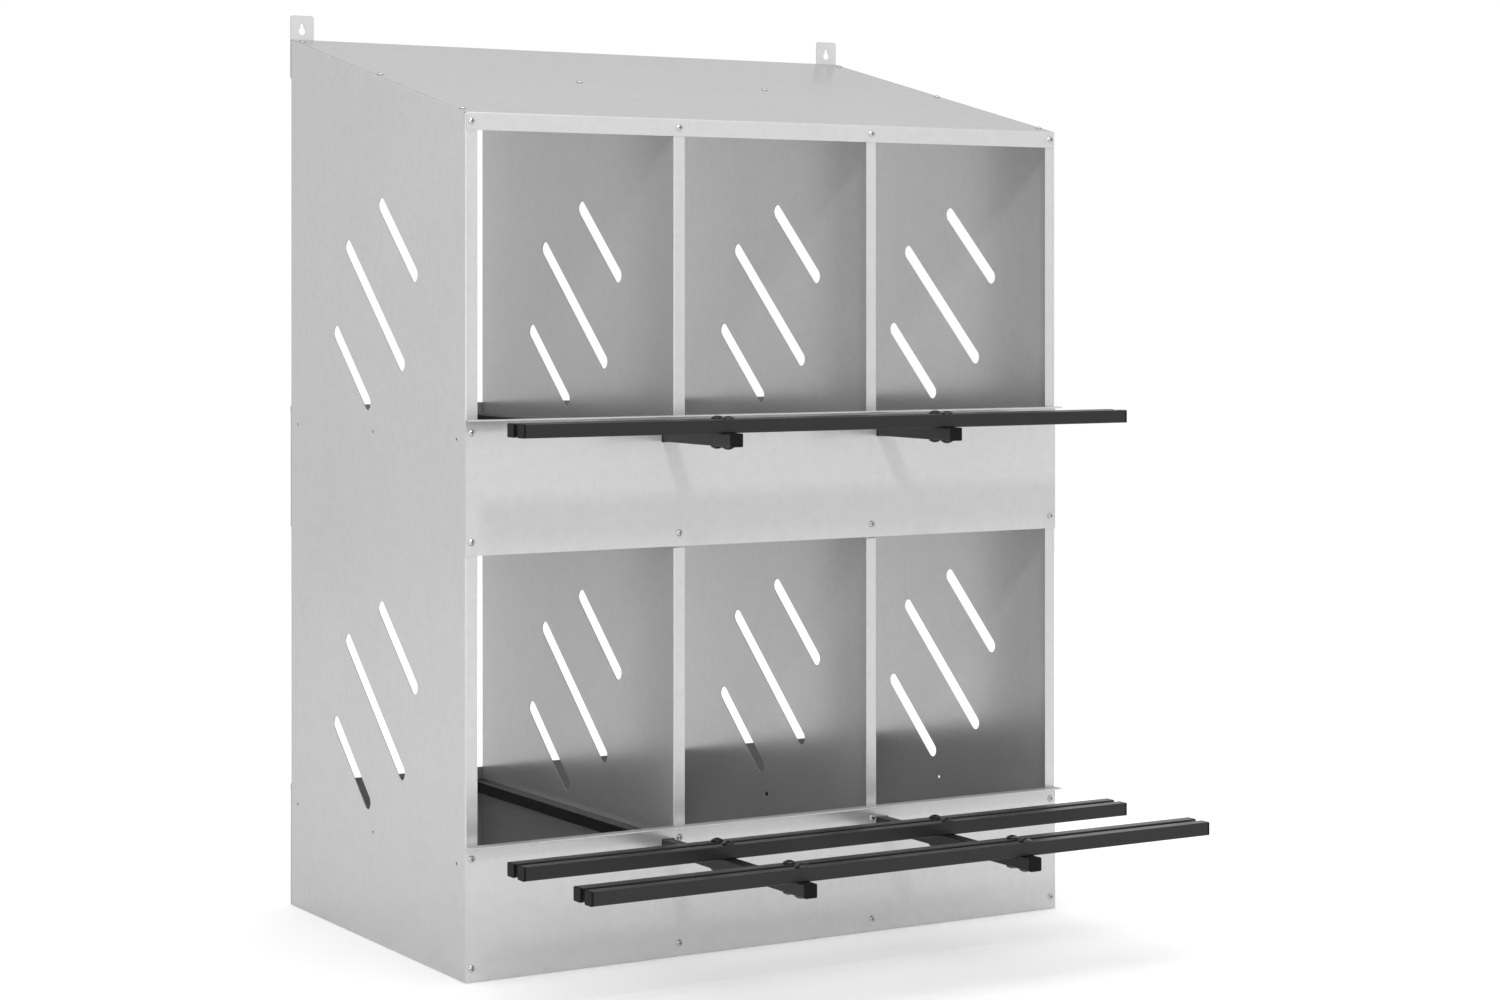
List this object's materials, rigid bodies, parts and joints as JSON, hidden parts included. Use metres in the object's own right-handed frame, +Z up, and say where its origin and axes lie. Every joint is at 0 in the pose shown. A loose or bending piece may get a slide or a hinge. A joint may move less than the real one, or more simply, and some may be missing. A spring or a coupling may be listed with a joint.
{
  "type": "nesting box",
  "caption": "Free-standing two-tier nesting box for hens in galvanised sheet, with a sloping roof, slotted walls, twin perch bars on arms and keyhole plates for a wall.",
  "frame": {"origin": "on the ground under the middle of the body's footprint, perches not counted", "axes": "+X to the right seen from the front, +Y from the front towards the back, +Z up"},
  "size_m": [0.93, 0.9465, 1.281],
  "materials": {
    "galvanised_sheet": "hot-dip galvanised sheet, fine spangle, satin",
    "galvanised_plate": "galvanised strip, satin, punched edges",
    "black_tube": "black powder coat, fine texture, semi-matt",
    "black_plug": "moulded black plastic, matt",
    "black_bolt": "black zinc plated, semi-matt",
    "zinc_screw": "bright zinc plated"
  },
  "bodies": {
    "root": {"side_panel_left": "galvanised_sheet", "side_panel_right": "galvanised_sheet", "divider_lower_left": "galvanised_sheet", "divider_lower_right": "galvanised_sheet", "divider_upper_left": "galvanised_sheet", "divider_upper_right": "galvanised_sheet", "floor_tray_lower": "galvanised_sheet", "floor_tray_upper": "galvanised_sheet", "front_board_lower": "galvanised_sheet", "front_board_upper": "galvanised_sheet", "rear_board_lower": "galvanised_sheet", "rear_board_upper": "galvanised_sheet", "roof_panel": "galvanised_sheet", "hanging_plate_left": "galvanised_plate", "hanging_plate_right": "galvanised_plate", "perch_arm_lower_left": "black_tube", "perch_arm_lower_right": "black_tube", "perch_arm_upper_left": "black_tube", "perch_arm_upper_right": "black_tube", "perch_bar_lower_outer_front": "black_tube", "perch_bar_lower_outer_rear": "black_tube", "perch_bar_lower_inner_front": "black_tube", "perch_bar_lower_inner_rear": "black_tube", "perch_bar_upper_front": "black_tube", "perch_bar_upper_rear": "black_tube", "bar_caps_lower_outer": "black_plug", "bar_caps_lower_inner": "black_plug", "bar_caps_upper": "black_plug", "arm_caps_lower": "black_plug", "arm_caps_upper": "black_plug", "perch_bolts_lower_outer": "black_bolt", "perch_bolts_lower_inner": "black_bolt", "perch_bolts_upper": "black_bolt", "perch_nuts_lower_outer": "black_bolt", "perch_nuts_lower_inner": "black_bolt", "perch_nuts_upper": "black_bolt", "arm_screws_lower": "black_bolt", "arm_screws_upper": "black_bolt", "front_screws_lower": "zinc_screw", "front_screws_upper": "zinc_screw", "rear_screws_lower": "zinc_screw", "rear_screws_upper": "zinc_screw", "roof_screws": "zinc_screw", "roof_lip_screws": "zinc_screw", "plate_screws": "zinc_screw", "tray_divider_screws": "zinc_screw", "front_nuts": "zinc_screw", "rear_nuts": "zinc_screw", "roof_nuts": "zinc_screw", "tray_divider_nuts": "zinc_screw"}
  },
  "joints": []
}
